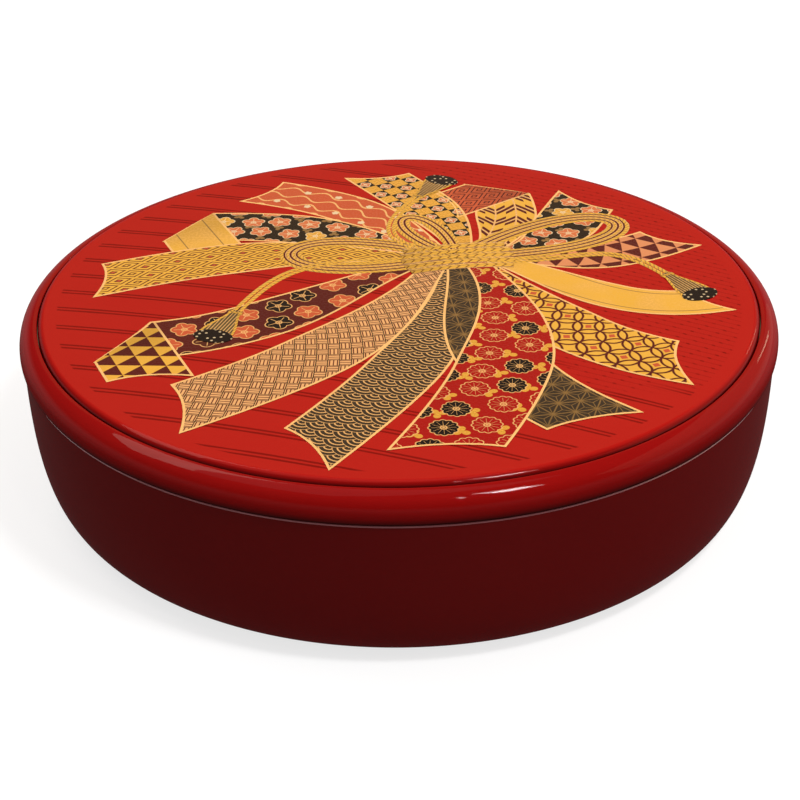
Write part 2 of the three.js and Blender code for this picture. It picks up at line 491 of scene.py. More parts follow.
def hemp_leaf(paint, u, v):
    """Six-pointed hemp leaves on a lattice of triangles."""
    height = 6.2
    shares = []
    for way in map(heading, (90, 210, 330)):
        shares.append(((u * way.x + v * way.y) / height).frac())
    down = (1.5 - sum(shares)).below(0, 0.001)
    first, second, third = (share + down * (1 - share * 2) for share in shares)
    least = first.min(second).min(third)
    most = first.max(second).max(third)
    rays = 1 - most - least * 2
    yield least.min(rays).below(0.035, 0.04), OLD_GOLD, DRAWN
    yield paint.noise(60, 3).below(0.42, 0.3) * 0.35, BLACK, MATT


def scales(paint, u, v):
    """Rows of triangles."""
    size = 7.4
    row = v / size
    across = (u / size + row.floor().odd() * 0.5).off_middle() * 2
    yield (across - row.frac()).below(0, 0.06), WINE, MATT


def checks(paint, u, v):
    """Chequered squares with a small flower in every other one."""
    size = 6.0
    odd = ((u / size).floor() + (v / size).floor()).odd()
    shape, lines = blossom(u.centred(size), v.centred(size), petals=4, radius=2.4, lobes=0.35)
    yield odd.math("GREATER_THAN", 0.5), GOLD, FILLED
    yield shape * (1 - odd), ORANGE, MATT
    yield lines * (1 - odd), IVORY, MATT


def feathers(paint, u, v):
    """Arrow feathers in columns that point up and down in turn."""
    width = 8.0
    bar_pitch = 11.0
    x = v.centred(width).abs()
    way = (v / width).floor().odd() * 2 - 1
    bars = ((u * way + x * 1.1) / bar_pitch).frac()
    yield bars.below(0.5, 0.03), WINE, MATT
    yield (bars - 0.25).abs().below(0.05, 0.03), PALE_GOLD, DRAWN
    yield x.below(0.32, 0.2), PALE_GOLD, DRAWN


def lozenges(paint, u, v):
    """Lozenges inside lozenges."""
    length, width = 12.0, 7.6
    size = (u / length).off_middle() + (v / width).off_middle()
    yield (size * 4).off_middle().below(0.16, 0.06), WINE, MATT
    yield size.below(0.09, 0.03), CORAL, MATT


def steam(paint, u, v):
    """Rising steam: wavy lines that swell and close in turn."""
    pitch = 6.2
    wave_length = 13.0
    across = v / pitch
    nearest = (across + 0.5).floor()
    way = nearest.odd() * 2 - 1
    sway = (u * (2 * math.pi / wave_length)).sin() * 0.27
    away = (across - nearest - way * sway).abs() * pitch
    yield away.below(0.45, 0.2), PALE_GOLD, DRAWN
    shape, _, _ = scattered_blossoms(paint, u + 3.2, v, pitch * 2, petals=5, radius=1.5, lobes=0.25, seed=5)
    yield shape, IVORY, MATT


def wicker(paint, u, v):
    """Slanting strips that pass over and under each other."""
    size = 5.4
    a = (u + v) / size
    b = (u - v) / size
    odd = (a.floor() + b.floor()).odd().math("GREATER_THAN", 0.5)
    strands = (b * 3).frac() * odd + (a * 3).frac() * (1 - odd)
    yield (strands - 0.5).abs().below(0.15, 0.08), WINE, MATT
    gaps = a.off_middle().max(b.off_middle())
    yield (0.5 - gaps).below(0.04, 0.03), BLACK, MATT


def plum_on_black(paint, u, v):
    """Plum blossom, some of it gold, with small leaves between."""
    cell = 9.6
    shape, lines, lot = scattered_blossoms(paint, u, v, cell, petals=5, radius=4.3, lobes=0.28, seed=2)
    yield shape, ORANGE, MATT
    yield shape * lot.below(0.33, 0.01), GOLD, DRAWN
    yield lines * shape.max(lines), IVORY, MATT
    u, v = u + 5.4, v + 4.8
    leaf, _, _ = scattered_blossoms(paint, u, v, cell, petals=3, radius=2.1, lobes=0.7, seed=8)
    yield leaf * (1 - shape), OLD_GOLD, DRAWN


def plum_on_wine(paint, u, v):
    """Plum blossom, some of it black, drawn in pale gold."""
    cell = 11.0
    shape, lines, lot = scattered_blossoms(paint, u, v, cell, petals=5, radius=4.9, lobes=0.24, seed=12)
    yield shape, CORAL, MATT
    yield shape * lot.below(0.4, 0.01), BLACK, MATT
    yield lines * shape.max(lines), PALE_GOLD, DRAWN


def wheels_on_red(paint, u, v):
    """Many-petalled roundels, some black, with gold between them."""
    cell = 11.4
    shape, lines, lot = scattered_blossoms(paint, u, v, cell, petals=12, radius=4.9, lobes=0.12, seed=21)
    u, v = u + 6.5, v + 5.7
    sprig, _, _ = scattered_blossoms(paint, u, v, cell, petals=3, radius=3.0, lobes=0.75, seed=30)
    yield sprig * (1 - shape), GOLD, FILLED
    yield shape * lot.below(0.45, 0.01), BLACK, MATT
    yield lines * shape.max(lines), PALE_GOLD, DRAWN


def plain_gold(paint, u, v):
    """Plain gold with a fine darker line along each edge."""
    yield paint.noise(70, 2).below(0.45, 0.3) * 0.25, PALE_GOLD, BURNISHED
    yield (v.abs() - 6.6).abs().below(0.22, 0.2), OLD_GOLD, MATT


def braided(paint, u, v):
    """A braided cord's stitches, which meet in arrowheads along its middle."""
    stitch = (u / 3.4 + v.abs() * 0.34).off_middle()
    yield stitch.below(0.10, 0.08) * 0.85, WINE, MATT
    yield v.abs().below(0.2, 0.2) * 0.6, OLD_GOLD, MATT


def twisted(paint, u, v):
    """A thin cord's slanting turns."""
    yield ((u + v * 1.3) / 2.2).off_middle().below(0.14, 0.12) * 0.8, OLD_GOLD, MATT


def tassel_threads(paint, u, v):
    """Pale lines along the cloth."""
    yield (v * 0.85).off_middle().below(0.14, 0.1), PALE_GOLD, DRAWN


def tuft_ends(paint, u, v):
    """Pale dots in staggered rows, with some left out by chance."""
    column, row, x, y = staggered(u, v, 2.2, 2.0)
    kept = paint.chance(column, row, 40).below(0.7, 0.01)
    yield longer(x, y).below(0.45, 0.25) * kept, IVORY, MATT


# Pieces

# Which of its materials a piece takes for a stretch of its section
OUTSIDE, INSIDE, EDGE = 0, 1, 2


def make_piece(name, vertices, faces, materials, indices, body, stands_for=()):
    """Makes a mesh piece from points in millimetres and lets it ride on its body."""
    mesh = bpy.data.meshes.new(name)
    mesh.from_pydata([Vector(p) * MM for p in vertices], [], faces)
    for material in materials:
        mesh.materials.append(material)
    mesh.polygons.foreach_set("material_index", indices)
    mesh.shade_smooth()
    mesh.set_sharp_from_angle(angle=SHARP_ANGLE)
    mesh.update()
    piece = bpy.data.objects.new(name, mesh)
    bpy.context.collection.objects.link(piece)
    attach(piece, body)
    if stands_for:
        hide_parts(*stands_for)
    return piece


def arc(x, y, radius_x, radius_y, start, stop, steps):
    """Points of an elliptic turn about (x, y), between two angles in degrees."""
    angles = [math.radians(start + (stop - start) * i / steps) for i in range(steps + 1)]
    return [(x + radius_x * math.cos(a), y + radius_y * math.sin(a)) for a in angles]


def rounded(x, y, radius, start, stop, steps=8):
    return arc(x, y, radius, radius, start, stop, steps)


def turned(node, runs, materials, body, turns=TURNS):
    """Revolves a node's profile. A run is (points as radius and height, index of its material)."""
    profile = [(point, index) for points, index in runs for point in points]
    closed = profile[0][0][0] > 0
    vertices = []
    rows = []
    for (radius, height), _ in profile:
        count = turns if radius > 0 else 1
        rows.append(range(len(vertices), len(vertices) + count))
        for i in range(count):
            a = 2 * math.pi * i / turns
            vertices.append((radius * math.cos(a), radius * math.sin(a), height))
    faces = []
    indices = []
    for k in range(len(rows) if closed else len(rows) - 1):
        low = rows[k]
        high = rows[(k + 1) % len(rows)]
        index = profile[(k + 1) % len(rows)][1]
        for i in range(turns):
            j = (i + 1) % turns
            if len(low) == 1:
                face = (low[0], high[j], high[i])
            elif len(high) == 1:
                face = (low[i], low[j], high[0])
            else:
                face = (low[i], low[j], high[j], high[i])
            faces.append(face)
            indices.append(index)
    make_piece(f"{node}_lacquer", vertices, faces, materials, indices, body, [node])


def foot_ring(materials):
    outer = radius_of("foot_ring")
    inner = outer - FOOT_WIDTH
    top = high_of("foot_ring")
    r = FOOT_ROUNDING
    points = [
        *rounded(inner + r, r, r, 180, 270),
        *rounded(outer - r, r, r, 270, 360),
        (outer, top),
        (inner, top),
    ]
    turned("foot_ring", [(points, OUTSIDE)], materials, "box")


def base_board(materials):
    radius = radius_of("base_board")
    low = low_of("base_board")
    groove_outer = radius_of("foot_ring") + GLUE_GAP
    groove_inner = radius_of("foot_ring") - FOOT_WIDTH - GLUE_GAP
    points = [
        (0, low),
        (groove_inner, low),
        (groove_inner, low + FOOT_TONGUE),
        (groove_outer, low + FOOT_TONGUE),
        (groove_outer, low),
        (radius, low),
        (radius, floor_level),
        (0, floor_level),
    ]
    turned("base_board", [(points, OUTSIDE)], materials, "box")


def body_wall(materials):
    """The wall: maroon outside, with a painted highlight along its rim's corner, and black inside."""
    radius = radius_of("body_wall")
    low = low_of("body_wall")
    top = high_of("body_wall")
    ledge = low + LEDGE_THICKNESS
    ledge_radius = radius_of("base_board") - LEDGE_WIDTH
    hole = radius_of("base_board") + GLUE_GAP
    lip_hole = radius_of("lip_ring") + GLUE_GAP
    lip_ledge = low_of("lip_ring")
    rise = top - RIM_ROUNDING - low
    outside = []
    steps = 40
    for i in range(steps + 1):
        a = math.pi / 2 * i / steps
        across = math.sin(a) ** (2 / WALL_CURVE) * (radius - WALL_BASE_RADIUS)
        down = math.cos(a) ** (2 / WALL_CURVE) * rise
        outside.append((WALL_BASE_RADIUS + across, low + rise - down))
    rim = rounded(radius - RIM_ROUNDING, top - RIM_ROUNDING, RIM_ROUNDING, 0, 90)[1:]
    corner = WALL_INNER_RADIUS - WALL_INNER_FILLET
    inside = [
        (lip_hole, lip_ledge),
        (WALL_INNER_RADIUS, lip_ledge),
        *rounded(corner, floor_level + WALL_INNER_FILLET, WALL_INNER_FILLET, 360, 270, 16),
        (hole, floor_level),
        (hole, ledge),
        (ledge_radius, ledge),
    ]
    runs = [
        ([(ledge_radius, low), *outside, *rim[:2]], OUTSIDE),
        # The rim's corner takes the painted highlight
        (rim[2:], EDGE),
        ([(lip_hole, top)], OUTSIDE),
        (inside, INSIDE),
    ]
    turned("body_wall", runs, materials, "box")


def lip_ring(materials):
    outer = radius_of("lip_ring")
    inner = WALL_INNER_RADIUS
    low = low_of("lip_ring")
    shoulder = high_of("lip_ring") - LIP_ROUNDING
    points = [
        (inner, low),
        (outer, low),
        *rounded(outer - LIP_ROUNDING, shoulder, LIP_ROUNDING, 0, 90),
        *rounded(inner + LIP_ROUNDING, shoulder, LIP_ROUNDING, 90, 180),
    ]
    turned("lip_ring", [(points, OUTSIDE)], materials, "box")


def lid_rim(materials):
    """The half-round hoop: red outside, black inside."""
    radius = radius_of("lid_rim")
    shoulder = high_of("lid_rim")
    panel_hole = panel_radius + GLUE_GAP
    edge = radius - LID_TUCK
    widest = seam + LID_EQUATOR
    seat = high_of("ledge_ring")
    skirt = radius_of("lip_ring") + LID_CLEARANCE
    r = LID_EDGE_ROUNDING
    hole = panel_hole + HOLE_ROUNDING
    outside = [
        *rounded(edge - r, seam + r, r, 270, 360),
        *arc(edge, widest, LID_TUCK, LID_EQUATOR - r, 270, 360, 14)[1:],
        *arc(hole, widest, radius - hole, shoulder - widest, 0, 90, 28)[1:],
        *rounded(hole, shoulder - HOLE_ROUNDING, HOLE_ROUNDING, 90, 180)[1:],
    ]
    inside = [(panel_hole, seat), (skirt, seat), (skirt, seam)]
    runs = [(outside, OUTSIDE), (inside, INSIDE)]
    turned("lid_rim", runs, materials, "lid")


def ledge_ring(materials):
    outer = radius_of("ledge_ring")
    inner = panel_radius + GLUE_GAP - LEDGE_RING_WIDTH
    low = low_of("ledge_ring")
    high = high_of("ledge_ring")
    points = [(inner, low), (outer, low), (outer, high), (inner, high)]
    turned("ledge_ring", [(points, OUTSIDE)], materials, "lid")


def lid_panel(materials):
    """The raised panel: striped red ground above, and black underneath."""
    low = low_of("lid_panel")
    seat = high_of("ledge_ring")
    middle = panel_radius - LEDGE_RING_WIDTH
    r = PANEL_EDGE_ROUNDING
    under = [(0, low), (middle, low), (middle, seat), (panel_radius, seat)]
    edge = rounded(panel_radius - r, lid_top - r, r, 0, 90, 14)
    runs = [(under, INSIDE), (edge, EDGE), ([(0, lid_top)], OUTSIDE)]
    turned("lid_panel", runs, materials, "lid")


def dish_section():
    """The outside and the inside of a dish's section, as (inset from its outline, height) points."""
    outer_foot = DISH_DRAFT + DISH_BOTTOM_CURVE
    inner_curve = DISH_BOTTOM_CURVE - DISH_WALL
    inner_foot = DISH_DRAFT + DISH_WALL + inner_curve
    height = high_of("centre_dish") - floor_level
    lip = DISH_WALL / 2
    outside = [
        *rounded(outer_foot, DISH_BOTTOM_CURVE, DISH_BOTTOM_CURVE, 270, 180, 12),
        *rounded(lip, height - lip, lip, 180, 0, 10),
    ]
    inside = rounded(inner_foot, DISH_FLOOR + inner_curve, inner_curve, 180, 270, 12)
    return outside, inside


def centre_dish(materials):
    outside, inside = dish_section()
    radius = radius_of("centre_dish")

    def turn(points):
        return [(radius - inset, floor_level + height) for inset, height in points]

    runs = [
        ([(0, floor_level), *turn(outside)], OUTSIDE),
        ([*turn(inside), (0, floor_level + DISH_FLOOR)], INSIDE),
    ]
    turned("centre_dish", runs, materials, "centre_dish", DISH_TURNS)


def fan_outline(inset):
    """A fan dish's outline from above, drawn counter-clockwise about +X and moved in by an inset."""
    half = math.pi / FAN_COUNT
    outer = WALL_INNER_RADIUS - DISH_CLEARANCE - inset
    inner = radius_of("centre_dish") + DISH_CLEARANCE + inset
    side = DISH_CLEARANCE / 2 + inset
    far_corner = max(FAN_OUTER_CORNER - inset, 0.5)
    near_corner = max(FAN_INNER_CORNER - inset, 0.5)

    def corner(radius, reach):
        offset = side + radius
        along = math.sqrt(reach ** 2 - offset ** 2)
        x = math.cos(half) * along + math.sin(half) * offset
        y = math.sin(half) * along - math.cos(half) * offset
        return x, y, math.degrees(math.atan2(y, x))

    far_x, far_y, far_turn = corner(far_corner, outer - far_corner)
    near_x, near_y, near_turn = corner(near_corner, inner + near_corner)
    square = math.degrees(half) + 90
    upper = [
        *rounded(0, 0, outer, 0, far_turn, 24)[:-1],
        *rounded(far_x, far_y, far_corner, far_turn, square, 10),
        *rounded(near_x, near_y, near_corner, square, near_turn + 180, 10),
        *rounded(0, 0, inner, near_turn, 0, 14)[1:],
    ]
    return upper + [(x, -y) for x, y in reversed(upper[1:-1])]


def fan_dish(number, materials):
    outside, inside = dish_section()
    turn = Matrix.Rotation(math.pi / 2 + (number - 1) * 2 * math.pi / FAN_COUNT, 4, "Z")
    section = outside + inside
    rings = [fan_outline(inset) for inset, _ in section]
    count = len(rings[0])
    vertices = []
    for (_, height), ring in zip(section, rings):
        vertices += [turn @ Vector((x, y, floor_level + height)) for x, y in ring]
    faces = []
    indices = []
    for row in range(len(section) - 1):
        for i in range(count):
            a = row * count + i
            b = row * count + (i + 1) % count
            faces.append((a, b, b + count, a + count))
            indices.append(OUTSIDE if row + 1 < len(outside) else INSIDE)
    faces.append(tuple(reversed(range(count))))
    faces.append(tuple(range((len(section) - 1) * count, len(section) * count)))
    indices += [OUTSIDE, INSIDE]
    name = f"fan_dish_{number}"
    make_piece(f"{name}_lacquer", vertices, faces, materials, indices, name, [name])


# The lid's figure. Places are millimetres from the middle of the panel, with +Y away from the viewer

KNOT = (22, 28)
KNOT_HEADING = 8

# How widely the ribbons leave the knot, and how they widen and end
KNOT_SPREAD = 15
GATHERED_WIDTH = 8
WIDENING_SHARE = 0.62
END_HOLLOW = 2.6
FLAP_SKEW = 4
OUTLINE_WIDTH = 0.95

# Heights in millimetres. Each ribbon lies one layer above the last, and its foot is sunk in the panel
LAYER = 0.014
FLAP_LAYER = LAYER * 0.7
FOOT_SUNK = 0.05
OUTLINE_SUNK = 0.01
OUTLINE_STANDS = 0.008


def heading(degrees):
    """The direction at an angle from +X towards +Y."""
    return Vector((math.cos(math.radians(degrees)), math.sin(math.radians(degrees))))


def left_of(way):
    """The direction square to another, on its left."""
    return Vector((-way.y, way.x))


class Line:
    """A smooth line through Bezier pieces, measured by its length."""

    def __init__(self, *corners):
        self.points = []
        steps = 60
        for k in range(0, len(corners) - 1, 3):
            a, b, c, d = (Vector(p) for p in corners[k:k + 4])
            for i in range(steps + 1):
                t = i / steps
                s = 1 - t
                self.points.append(a * s ** 3 + b * 3 * s * s * t + c * 3 * s * t * t + d * t ** 3)
        self.reach = [0]
        for p, q in zip(self.points, self.points[1:]):
            self.reach.append(self.reach[-1] + (q - p).length)
        self.length = self.reach[-1]

    def at(self, distance):
        """Point and direction at a distance along, going straight on past the end."""
        k = 0
        while k < len(self.reach) - 2 and self.reach[k + 1] < distance:
            k += 1
        while self.reach[k + 1] - self.reach[k] < 1e-9:
            k -= 1
        step = self.points[k + 1] - self.points[k]
        share = (distance - self.reach[k]) / (self.reach[k + 1] - self.reach[k])
        return self.points[k] + step * share, step.normalized()


def bend(start, leave, end, arrive, slack=0.4):
    """A line from one point to another, leaving and arriving at given headings."""
    a = Vector(start)
    d = Vector(end)
    reach = (d - a).length * slack
    return Line(a, a + heading(leave) * reach, d - heading(arrive) * reach, d)


def straight(start, way, length):
    """A straight line from a point."""
    return Line(start, start + way * length / 3, start + way * length * 2 / 3, start + way * length)


def smooth(t):
    """Eases from 0 to 1."""
    t = min(max(t, 0), 1)
    return t * t * (3 - 2 * t)


def figure_piece(name, vertices, faces, places, material):
    """Makes a piece of the figure. Places tell where its points, sheet by sheet, are on the cloth."""
    piece = make_piece(name, vertices, faces, [material], [0] * len(faces), "lid")
    weave = piece.data.uv_layers.new(name=WEAVE)
    for loop in piece.data.loops:
        weave.data[loop.index].uv = places[loop.vertex_index % len(places)]


def slab(name, grid, places, low, high, material):
    """A thin closed sheet over a grid of points, with where each point is on the cloth."""
    rows = len(grid)
    columns = len(grid[0])
    count = rows * columns
    vertices = [(x, y, level) for level in (low, high) for line in grid for x, y in line]
    faces = []
    for i in range(rows - 1):
        for j in range(columns - 1):
            a = i * columns + j
            quad = (a, a + 1, a + columns + 1, a + columns)
            faces.append(quad)
            faces.append(tuple(v + count for v in reversed(quad)))
    around = list(range(columns))
    around += [i * columns + columns - 1 for i in range(1, rows)]
    around += [(rows - 1) * columns + j for j in range(columns - 2, -1, -1)]
    around += [i * columns for i in range(rows - 2, 0, -1)]
    for a, b in zip(around, around[1:] + around[:1]):
        faces.append((b, a, a + count, b + count))
    flat = [place for line in places for place in line]
    figure_piece(name, vertices, faces, flat, material)


def ribbon(name, line, width, top, material, skew=0, hollow=0, near=0, rows=72, columns=8):
    """A ribbon along a line. Its end is hollow, and both ends may be skewed towards one corner."""
    grid = []
    places = []
    for i in range(rows + 1):
        grid.append([])
        places.append([])
        for j in range(columns + 1):
            side = 1 - 2 * j / columns
            reach = line.length + skew * side - hollow * (1 - side * side)
            distance = near * side + (reach - near * side) * i / rows
            middle, way = line.at(distance)
            half = width(distance / line.length) / 2
            grid[-1].append(tuple(middle + left_of(way) * (side * half)))
            places[-1].append((distance, side * half))
    slab(name, grid, places, lid_top - FOOT_SUNK, top, material)
    return grid


def edge_of(grid):
    """The way round a grid, from its near corner to the far end and back on the other side."""
    left = [line[0] for line in grid]
    right = [line[-1] for line in reversed(grid)]
    return [Vector(p) for p in left + grid[-1][1:-1] + right]


# A drawn line's half-round section, as shares of half its width and of its height
BEAD_SECTION = [(1, 0), (0.8, 0.7), (0.35, 1), (-0.35, 1), (-0.8, 0.7), (-1, 0)]


def bead(name, path, width, low, high, material):
    """A narrow half-round line of paint along a path, with flat ends and mitred corners."""
    vertices = []
    places = []
    reach = 0
    for k, here in enumerate(path):
        before = here - path[k - 1] if k else path[1] - here
        after = path[k + 1] - here if k + 1 < len(path) else before
        reach += before.length if k else 0
        way = (before.normalized() + after.normalized()).normalized()
        across = left_of(way)
        mitre = 1 / max(abs(across.dot(left_of(after).normalized())), 0.5)
        for side, rise in BEAD_SECTION:
            place = here + across * (side * width / 2 * mitre)
            vertices.append((place.x, place.y, low + (high - low) * rise))
            places.append((reach, side * width / 2))
    count = len(BEAD_SECTION)
    faces = []
    for k in range(len(path) - 1):
        for i in range(count):
            a = k * count + i
            b = k * count + (i + 1) % count
            faces.append((b, a, a + count, b + count))
    faces.append(tuple(range(count)))
    faces.append(tuple(reversed(range((len(path) - 1) * count, len(path) * count))))
    figure_piece(name, vertices, faces, places, material)


def drawn_round(name, grid, level, material, stands=OUTLINE_STANDS):
    """A line of gold round the edge of a ribbon that lies at a level."""
    bead(name, edge_of(grid), OUTLINE_WIDTH, level - OUTLINE_SUNK, level + stands, material)


# Each ribbon from the lowest up: name, end, heading at the knot, heading at the end, width,
# how far one corner of the end runs on, colour of the ground, and repeat
RIBBONS = [
    ("steam", (-54, 92), 118, 160, 23, 4, CORAL, steam),
    ("feathers", (40, 92), 62, 100, 23, 0, GOLD, feathers),
    ("checks", (-8, 107), 92, 122, 24, 5, INK, checks),
    ("blossom_back", (-80, 58), 138, 182, 25, 0, INK, plum_on_black),
    ("scales", (102, 42), 346, 36, 22, -5, PEACH, scales),
    ("blossom_right", (74, 79), 18, 66, 25, 5, INK, plum_on_black),
    ("lozenge", (-108, 12), 164, 204, 25, 5, GOLD, lozenges),
    ("wine_blossom", (-92, -36), 218, 186, 26, 0, WINE, plum_on_wine),
    ("waves", (-28, -106), 270, 236, 25, 6, CHARCOAL, waves),
    ("plain", (109, -10), 322, 14, 18, -5, GOLD, plain_gold),
    ("wicker", (-70, -81), 252, 214, 28, 6, STRAW, wicker),
    ("treasures", (93, -55), 296, 338, 27, -6, GOLD, treasures),
    ("hemp", (60, -92), 276, 316, 28, 7, CHARCOAL, hemp_leaf),
    ("wheels", (14, -107), 294, 244, 31, -8, VERMILION, wheels_on_red),
]

# Folded ends: ribbon, turn at the fold, length of the flap, and the lining's colour and repeat
FOLDS = [
    ("feathers", 118, 26, CORAL, lozenges),
    ("blossom_back", 112, 30, GOLD, plain_gold),
    ("wine_blossom", 108, 28, GOLD, scales),
]

# Loops of the bow: name, headings at which the loop leaves and returns, reach, number of cords
LOOPS = [
    ("loop_left", 202, 150, 92, 4),
    ("loop_right", 50, 2, 100, 4),
    ("loop_back", 138, 96, 58, 3),
]

# Cords: name, end, heading at the knot, heading at the end, number of strands
CORDS = [
    ("cord_left", (-56, -14), 186, 250, 2),
    ("cord_back", (8, 84), 160, 60, 2),
    ("cord_right", (96, 12), 340, 300, 2),
]


def ribbons(outline):
    """The ribbons that come out of the knot, each with a gold line round its edge."""
    across = heading(KNOT_HEADING)
    folds = {name: rest for name, *rest in FOLDS}
    for k, (name, end, leave, arrive, full, skew, ground, repeat) in enumerate(RIBBONS):
        start = Vector(KNOT) + across * (KNOT_SPREAD * heading(leave).dot(across))
        line = bend(start, leave, end, arrive)

        def width(t):
            return GATHERED_WIDTH + (full - GATHERED_WIDTH) * smooth(t / WIDENING_SHARE)

        level = lid_top + LAYER * (k + 1)
        hollow = END_HOLLOW
        if name in folds:
            turn, length, lining, pattern = folds[name]
            skew = full / 2 / math.tan(math.radians(turn / 2))
            hollow = 0
            back = straight(line.points[-1], heading(arrive + turn), length)
            inner_cloth = cloth(f"lining_{name}", lining, pattern)
            flap(name, back, full, skew, level + FLAP_LAYER, outline, inner_cloth)
        material = cloth(f"cloth_{name}", ground, repeat)
        grid = ribbon(f"ribbon_{name}", line, width, level, material, skew, hollow)
        drawn_round(f"outline_{name}", grid, level, outline)


def flap(name, line, width, skew, level, outline, material):
    """The end of a ribbon that is folded over, with its lining upwards."""

    def even(t):
        return width

    grid = ribbon(f"flap_{name}", line, even, level, material, FLAP_SKEW, END_HOLLOW, -skew, rows=24)
    drawn_round(f"outline_flap_{name}", grid, level, outline)


def strands(name, line, count, spacing, width, top, material):
    """Cords that run side by side along a line."""
    steps = 60
    for k in range(count):
        offset = spacing * (k - (count - 1) / 2)
        path = []
        for i in range(steps + 1):
            middle, way = line.at(line.length * i / steps)
            path.append(middle + left_of(way) * offset)
        bead(f"{name}_{k + 1}", path, width, lid_top, top, material)


def loops(gold, shade):
    """The bow's loops: cords side by side that leave the knot and come back to it."""
    spacing = 2.2
    width = 1.9
    knot = Vector(KNOT)
    for k, (name, leave, back, reach, count) in enumerate(LOOPS):
        line = Line(knot, knot + heading(leave) * reach, knot + heading(back) * reach, knot)
        top = lid_top + LAYER * (len(RIBBONS) + 2 + k)
        strands(name, line, count, spacing, width, top, gold)
        strands(f"{name}_shade", line, 1, 0, spacing * count, top - LAYER, shade)


def tassel(name, place, turn, materials, top):
    """Threads that spread from a bound neck, and a dark tuft of cut ends."""
    threads, tuft, cord = materials
    threads_level, tuft_level = top - 0.03, top - 0.015
    threads_length, tuft_start, tuft_length = 18, 15.5, 9
    neck_width, widening, tuft_width = 3.2, 8.2, 14
    binding_place, binding_length, binding_width = 1.5, 5.2, 2.2
    way = heading(turn)
    neck = Vector(place)
    skirt = straight(neck, way, threads_length)
    tip = straight(neck + way * tuft_start, way, tuft_length)

    def spread(t):
        return neck_width + widening * smooth(t)

    def round_end(t):
        return tuft_width * math.sqrt(max(1 - (2 * t - 1) ** 2, 0.02))

    grid = ribbon(f"{name}_threads", skirt, spread, threads_level, threads, rows=24)
    drawn_round(f"{name}_threads_outline", grid, threads_level, cord, stands=0.01)
    ribbon(f"{name}_tuft", tip, round_end, tuft_level, tuft, rows=24, columns=12)
    bound = neck + way * binding_place
    half = left_of(way) * (binding_length / 2)
    bead(f"{name}_binding", [bound - half, bound + half], binding_width, lid_top, top, cord)


def cords(gold):
    """Pairs of thin cord that hang out of the knot and end in tassels."""
    spacing = 2.1
    width = 1.7
    top = lid_top + LAYER * (len(RIBBONS) + len(LOOPS) + 4)
    olive = cloth("tassel_olive", OLIVE, tassel_threads)
    tuft = cloth("tuft_black", BLACK, tuft_ends)
    for name, end, leave, arrive, count in CORDS:
        line = bend(KNOT, leave, end, arrive, slack=0.55)
        strands(name, line, count, spacing, width, top, gold)
        tassel(f"{name}_tassel", end, arrive, (olive, tuft, gold), top)


def knot(cord, shade):
    """Cords side by side, wound round the gathered ribbons, the outer ones shorter."""
    count = 5
    spacing = 4.4
    half_length, shortening = 21, 0.5
    width, shade_width, shade_below = 3.9, 4.9, 0.06
    ends_bend, middle_bend = 1.2, 1.4
    across = heading(KNOT_HEADING)
    away = left_of(across)
    top = high_of("lid_panel")
    for k in range(count):
        step = k - (count - 1) / 2
        middle = Vector(KNOT) + away * (spacing * step)
        half = across * (half_length - shortening * step ** 2)
        line = Line(
            middle - half - away * ends_bend,
            middle - half / 3 + away * middle_bend,
            middle + half / 3 + away * middle_bend,
            middle + half - away * ends_bend,
        )
        strands(f"knot_cord_{k + 1}", line, 1, 0, width, top, cord)
        strands(f"knot_shade_{k + 1}", line, 1, 0, shade_width, top - shade_below, shade)


def ribbon_figure():
    """The figure on the lid, from the lowest pieces up."""
    outline = cloth("outline_gold", PALE_GOLD, plain_gold)
    braid = cloth("braid_gold", GOLD, braided)
    cord = cloth("cord_gold", GOLD, twisted)
    shade = cloth("cord_shade", WINE, tassel_threads)
    ribbons(outline)
    loops(cord, shade)
    cords(cord)
    knot(braid, shade)


# Stage, light and camera

FLOOR_SIZE = 16
FLOOR_WHITE = (0.85, 0.85, 0.85)
FLOOR_SEEN = (0.34, 0.34, 0.34)
FLOOR_GLOW = 0.74

# The world lights things evenly. To the eye it dims from the horizon upwards
WORLD_LIGHT = 0.32
HORIZON_HEIGHT = 0.12
HORIZON_LIGHT = 1
SKY_HEIGHT = 0.34
SKY_LIGHT = 0.14

# Lamps, all turned to the box: name, place and size in metres, watts, and colour
BOX_MIDDLE = (0, 0, 0.05)
LAMPS = [
    ("overhead", (-0.3, 0.3, 1.7), (1.6, 1.2), 3.6, (1, 1, 1)),
    ("strip", (-0.70, 0.50, 1.22), (1.2, 0.4), 6, (1, 0.86, 0.76)),
    ("window", (0.48, -0.50, 1.22), (0.25, 0.30), 6, (1, 1, 1)),
    ("window_core", (0.479, -0.499, 1.218), (0.20, 0.09), 4, (1, 1, 1)),
    ("bulb", (0.30, -0.81, 1.13), (0.04, 0.04), 0.5, (1, 1, 1)),
    ("side", (1.5, 0.5, 0.80), (2.8, 1.5), 12, (1, 0.70, 0.50)),
    ("far_window", (0.82, 0.94, 0.56), (0.06, 0.25), 0.6, (1, 0.85, 0.6)),
    ("glow", (0, 1.6, 0.80), (1.6, 0.9), 3.5, (1, 0.55, 0.25)),
]


def seen(tree):
    """1 for what the camera sees, also by reflection, and 0 for the light that falls on things."""
    path = tree.nodes.new("ShaderNodeLightPath")
    rays = ("Is Camera Ray", "Is Glossy Ray", "Is Transmission Ray")
    camera, glossy, through = (Number(tree, path.outputs[name]) for name in rays)
    return camera.max(glossy).max(through)


